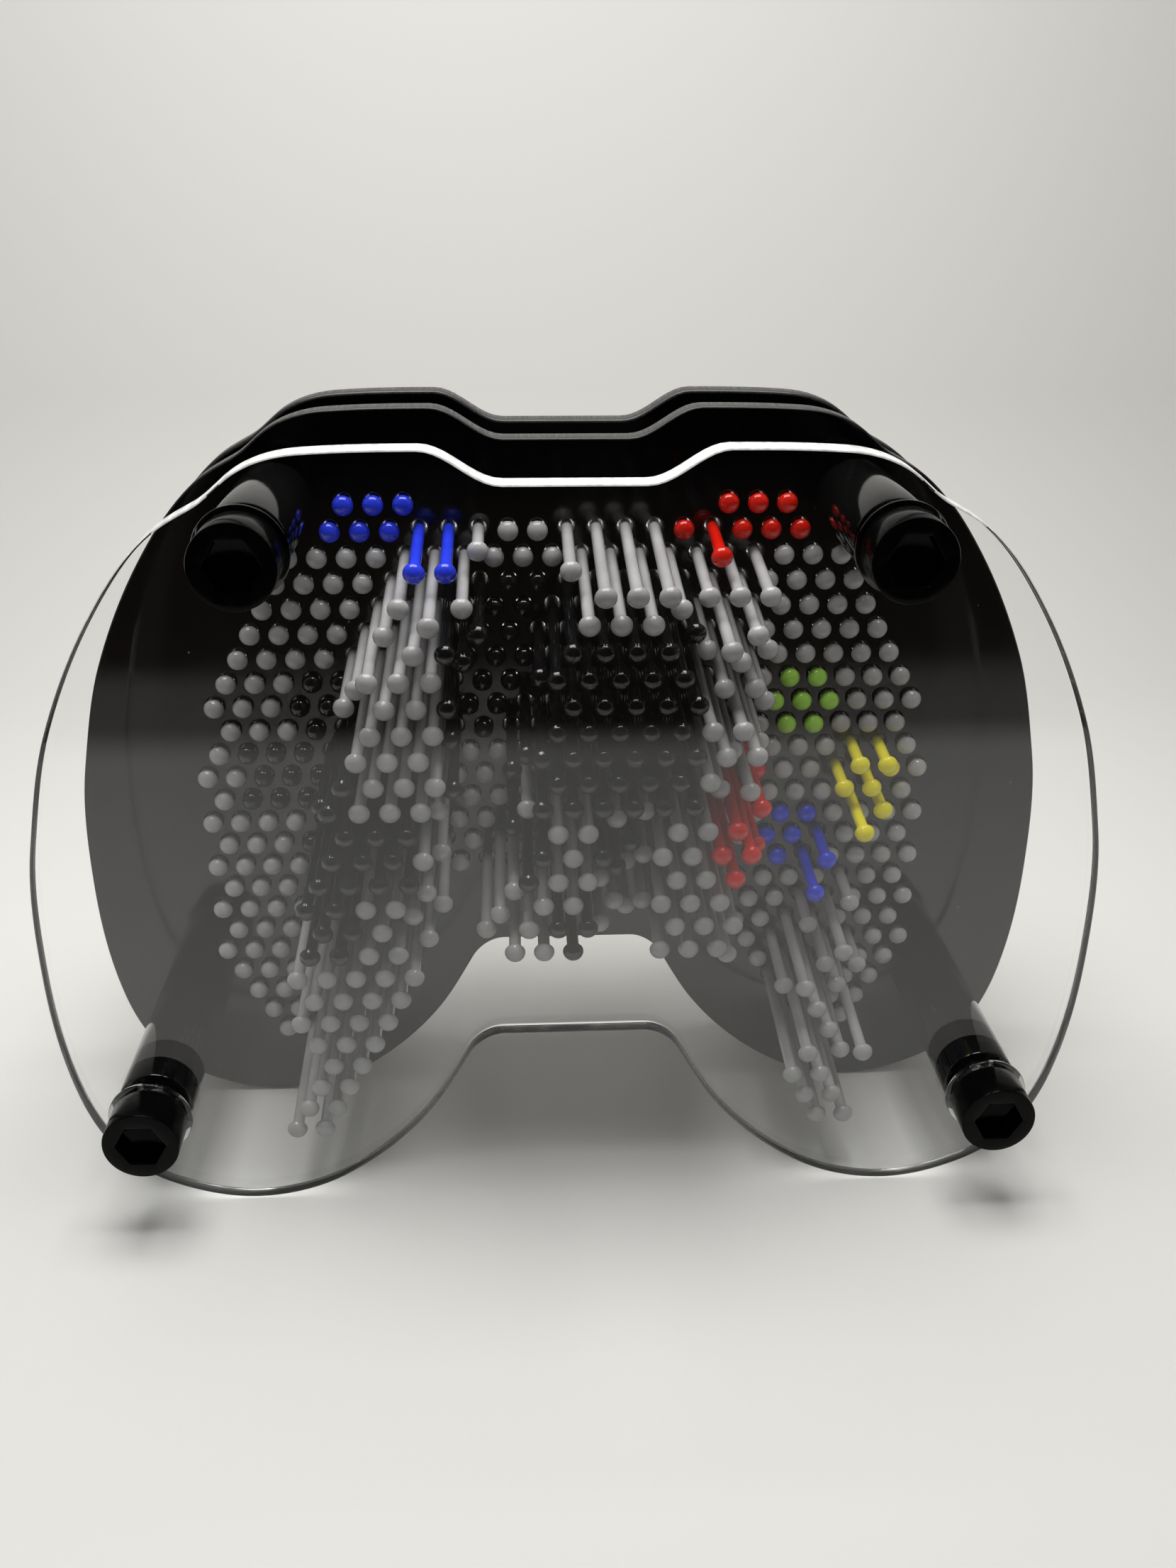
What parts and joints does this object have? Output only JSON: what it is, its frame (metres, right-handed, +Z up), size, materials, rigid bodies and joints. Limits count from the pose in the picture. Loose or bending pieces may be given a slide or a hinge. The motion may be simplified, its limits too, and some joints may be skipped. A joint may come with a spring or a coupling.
{
  "type": "pin art impression toy",
  "caption": "Pin art impression toy shaped like a game controller: clear cover, black pin plate and rear frame on corner posts, and sliding domed pins.",
  "frame": {"origin": "middle of the overall bounding box in X and Y, at the bottom of the lobes the toy stands on", "axes": "+Z up, -Y the way the clear cover faces, +X to the right of someone facing the cover"},
  "size_m": [0.1594, 0.0823, 0.1211],
  "materials": {
    "clear_acrylic": "polished, clear",
    "black_acrylic": "polished black, lighter sawn edges",
    "black_plastic": "satin black",
    "pin_grey": "translucent light grey",
    "pin_black": "glossy black",
    "pin_blue": "translucent blue",
    "pin_red": "translucent red",
    "pin_green": "translucent green",
    "pin_yellow": "translucent yellow"
  },
  "bodies": {
    "frame": {"front_cover": "clear_acrylic", "pin_plate": "black_acrylic", "rear_frame": "black_acrylic", "cap_screw_upper_left": "black_plastic", "cover_washer_upper_left": "clear_acrylic", "post_sleeve_upper_left": "black_plastic", "plate_spacer_upper_left": "black_plastic", "cap_nut_upper_left": "black_plastic", "cap_screw_upper_right": "black_plastic", "cover_washer_upper_right": "clear_acrylic", "post_sleeve_upper_right": "black_plastic", "plate_spacer_upper_right": "black_plastic", "cap_nut_upper_right": "black_plastic", "cap_screw_lower_left": "black_plastic", "cover_washer_lower_left": "clear_acrylic", "post_sleeve_lower_left": "black_plastic", "plate_spacer_lower_left": "black_plastic", "cap_nut_lower_left": "black_plastic", "cap_screw_lower_right": "black_plastic", "cover_washer_lower_right": "clear_acrylic", "post_sleeve_lower_right": "black_plastic", "plate_spacer_lower_right": "black_plastic", "cap_nut_lower_right": "black_plastic"},
    "pin_blue_rest": {"pin_blue_rest": "pin_blue"},
    "pin_blue_raised": {"pin_blue_raised": "pin_blue"},
    "pin_red_rest": {"pin_red_rest": "pin_red"},
    "pin_red_raised": {"pin_red_raised": "pin_red"},
    "pin_top_notch": {"pin_top_notch": "pin_grey"},
    "pin_top_band": {"pin_top_band": "pin_grey"},
    "pin_left_shoulder": {"pin_left_shoulder": "pin_grey"},
    "pin_left_band": {"pin_left_band": "pin_grey"},
    "pin_left_lobe": {"pin_left_lobe": "pin_grey"},
    "pin_left_inner_edge": {"pin_left_inner_edge": "pin_grey"},
    "pin_left_inner_slope": {"pin_left_inner_slope": "pin_grey"},
    "pin_left_flank_upper": {"pin_left_flank_upper": "pin_grey"},
    "pin_left_flank_lower": {"pin_left_flank_lower": "pin_grey"},
    "pin_cross_rest": {"pin_cross_rest": "pin_black"},
    "pin_cross_raised": {"pin_cross_raised": "pin_black"},
    "pin_pad_rest": {"pin_pad_rest": "pin_black"},
    "pin_pad_raised": {"pin_pad_raised": "pin_black"},
    "pin_pad_edge": {"pin_pad_edge": "pin_black"},
    "pin_trough": {"pin_trough": "pin_grey"},
    "pin_centre_raised": {"pin_centre_raised": "pin_grey"},
    "pin_centre_left": {"pin_centre_left": "pin_grey"},
    "pin_centre_right": {"pin_centre_right": "pin_grey"},
    "pin_right_shoulder": {"pin_right_shoulder": "pin_grey"},
    "pin_right_band_upper": {"pin_right_band_upper": "pin_grey"},
    "pin_right_band_edge": {"pin_right_band_edge": "pin_grey"},
    "pin_right_band_lower": {"pin_right_band_lower": "pin_grey"},
    "pin_red_cluster": {"pin_red_cluster": "pin_red"},
    "pin_green_cluster": {"pin_green_cluster": "pin_green"},
    "pin_yellow_cluster": {"pin_yellow_cluster": "pin_yellow"},
    "pin_blue_cluster": {"pin_blue_cluster": "pin_blue"},
    "pin_blue_cluster_raised": {"pin_blue_cluster_raised": "pin_blue"},
    "pin_right_flank_upper": {"pin_right_flank_upper": "pin_grey"},
    "pin_right_flank_lower": {"pin_right_flank_lower": "pin_grey"},
    "pin_right_lobe_foot": {"pin_right_lobe_foot": "pin_grey"},
    "pin_right_lobe_slope": {"pin_right_lobe_slope": "pin_grey"},
    "pin_right_lobe_edge": {"pin_right_lobe_edge": "pin_grey"},
    "pin_right_lobe_raised": {"pin_right_lobe_raised": "pin_grey"}
  },
  "joints": [
    {"name": "pin_blue_rest_slide", "type": "slide", "parent": "frame", "child": "pin_blue_rest", "axis": [0, -0.9903, -0.1392], "range_m": [0, 0.024]},
    {"name": "pin_blue_raised_slide", "type": "slide", "parent": "frame", "child": "pin_blue_raised", "axis": [0, -0.9903, -0.1392], "range_m": [-0.0153, 0.0087]},
    {"name": "pin_red_rest_slide", "type": "slide", "parent": "frame", "child": "pin_red_rest", "axis": [0, -0.9903, -0.1392], "range_m": [0, 0.024]},
    {"name": "pin_red_raised_slide", "type": "slide", "parent": "frame", "child": "pin_red_raised", "axis": [0, -0.9903, -0.1392], "range_m": [-0.0104, 0.0136]},
    {"name": "pin_top_notch_slide", "type": "slide", "parent": "frame", "child": "pin_top_notch", "axis": [0, -0.9903, -0.1392], "range_m": [0, 0.024]},
    {"name": "pin_top_band_slide", "type": "slide", "parent": "frame", "child": "pin_top_band", "axis": [0, -0.9903, -0.1392], "range_m": [-0.024, 0]},
    {"name": "pin_left_shoulder_slide", "type": "slide", "parent": "frame", "child": "pin_left_shoulder", "axis": [0, -0.9903, -0.1392], "range_m": [-0.018, 0.006]},
    {"name": "pin_left_band_slide", "type": "slide", "parent": "frame", "child": "pin_left_band", "axis": [0, -0.9903, -0.1392], "range_m": [-0.024, 0]},
    {"name": "pin_left_lobe_slide", "type": "slide", "parent": "frame", "child": "pin_left_lobe", "axis": [0, -0.9903, -0.1392], "range_m": [-0.024, 0]},
    {"name": "pin_left_inner_edge_slide", "type": "slide", "parent": "frame", "child": "pin_left_inner_edge", "axis": [0, -0.9903, -0.1392], "range_m": [-0.02, 0.004]},
    {"name": "pin_left_inner_slope_slide", "type": "slide", "parent": "frame", "child": "pin_left_inner_slope", "axis": [0, -0.9903, -0.1392], "range_m": [-0.0155, 0.0085]},
    {"name": "pin_left_flank_upper_slide", "type": "slide", "parent": "frame", "child": "pin_left_flank_upper", "axis": [0, -0.9903, -0.1392], "range_m": [0, 0.024]},
    {"name": "pin_left_flank_lower_slide", "type": "slide", "parent": "frame", "child": "pin_left_flank_lower", "axis": [0, -0.9903, -0.1392], "range_m": [0, 0.024]},
    {"name": "pin_cross_rest_slide", "type": "slide", "parent": "frame", "child": "pin_cross_rest", "axis": [0, -0.9903, -0.1392], "range_m": [0, 0.024]},
    {"name": "pin_cross_raised_slide", "type": "slide", "parent": "frame", "child": "pin_cross_raised", "axis": [0, -0.9903, -0.1392], "range_m": [-0.024, 0]},
    {"name": "pin_pad_rest_slide", "type": "slide", "parent": "frame", "child": "pin_pad_rest", "axis": [0, -0.9903, -0.1392], "range_m": [0, 0.024]},
    {"name": "pin_pad_raised_slide", "type": "slide", "parent": "frame", "child": "pin_pad_raised", "axis": [0, -0.9903, -0.1392], "range_m": [-0.024, 0]},
    {"name": "pin_pad_edge_slide", "type": "slide", "parent": "frame", "child": "pin_pad_edge", "axis": [0, -0.9903, -0.1392], "range_m": [-0.018, 0.006]},
    {"name": "pin_trough_slide", "type": "slide", "parent": "frame", "child": "pin_trough", "axis": [0, -0.9903, -0.1392], "range_m": [0, 0.024]},
    {"name": "pin_centre_raised_slide", "type": "slide", "parent": "frame", "child": "pin_centre_raised", "axis": [0, -0.9903, -0.1392], "range_m": [-0.024, 0]},
    {"name": "pin_centre_left_slide", "type": "slide", "parent": "frame", "child": "pin_centre_left", "axis": [0, -0.9903, -0.1392], "range_m": [-0.02, 0.004]},
    {"name": "pin_centre_right_slide", "type": "slide", "parent": "frame", "child": "pin_centre_right", "axis": [0, -0.9903, -0.1392], "range_m": [-0.017, 0.007]},
    {"name": "pin_right_shoulder_slide", "type": "slide", "parent": "frame", "child": "pin_right_shoulder", "axis": [0, -0.9903, -0.1392], "range_m": [-0.015, 0.009]},
    {"name": "pin_right_band_upper_slide", "type": "slide", "parent": "frame", "child": "pin_right_band_upper", "axis": [0, -0.9903, -0.1392], "range_m": [-0.024, 0]},
    {"name": "pin_right_band_edge_slide", "type": "slide", "parent": "frame", "child": "pin_right_band_edge", "axis": [0, -0.9903, -0.1392], "range_m": [-0.019, 0.005]},
    {"name": "pin_right_band_lower_slide", "type": "slide", "parent": "frame", "child": "pin_right_band_lower", "axis": [0, -0.9903, -0.1392], "range_m": [-0.024, 0]},
    {"name": "pin_red_cluster_slide", "type": "slide", "parent": "frame", "child": "pin_red_cluster", "axis": [0, -0.9903, -0.1392], "range_m": [-0.024, 0]},
    {"name": "pin_green_cluster_slide", "type": "slide", "parent": "frame", "child": "pin_green_cluster", "axis": [0, -0.9903, -0.1392], "range_m": [0, 0.024]},
    {"name": "pin_yellow_cluster_slide", "type": "slide", "parent": "frame", "child": "pin_yellow_cluster", "axis": [0, -0.9903, -0.1392], "range_m": [-0.006, 0.018]},
    {"name": "pin_blue_cluster_slide", "type": "slide", "parent": "frame", "child": "pin_blue_cluster", "axis": [0, -0.9903, -0.1392], "range_m": [0, 0.024]},
    {"name": "pin_blue_cluster_raised_slide", "type": "slide", "parent": "frame", "child": "pin_blue_cluster_raised", "axis": [0, -0.9903, -0.1392], "range_m": [-0.0105, 0.0135]},
    {"name": "pin_right_flank_upper_slide", "type": "slide", "parent": "frame", "child": "pin_right_flank_upper", "axis": [0, -0.9903, -0.1392], "range_m": [0, 0.024]},
    {"name": "pin_right_flank_lower_slide", "type": "slide", "parent": "frame", "child": "pin_right_flank_lower", "axis": [0, -0.9903, -0.1392], "range_m": [0, 0.024]},
    {"name": "pin_right_lobe_foot_slide", "type": "slide", "parent": "frame", "child": "pin_right_lobe_foot", "axis": [0, -0.9903, -0.1392], "range_m": [-0.0075, 0.0165]},
    {"name": "pin_right_lobe_slope_slide", "type": "slide", "parent": "frame", "child": "pin_right_lobe_slope", "axis": [0, -0.9903, -0.1392], "range_m": [-0.0125, 0.0115]},
    {"name": "pin_right_lobe_edge_slide", "type": "slide", "parent": "frame", "child": "pin_right_lobe_edge", "axis": [0, -0.9903, -0.1392], "range_m": [-0.0185, 0.0055]},
    {"name": "pin_right_lobe_raised_slide", "type": "slide", "parent": "frame", "child": "pin_right_lobe_raised", "axis": [0, -0.9903, -0.1392], "range_m": [-0.024, 0]}
  ]
}
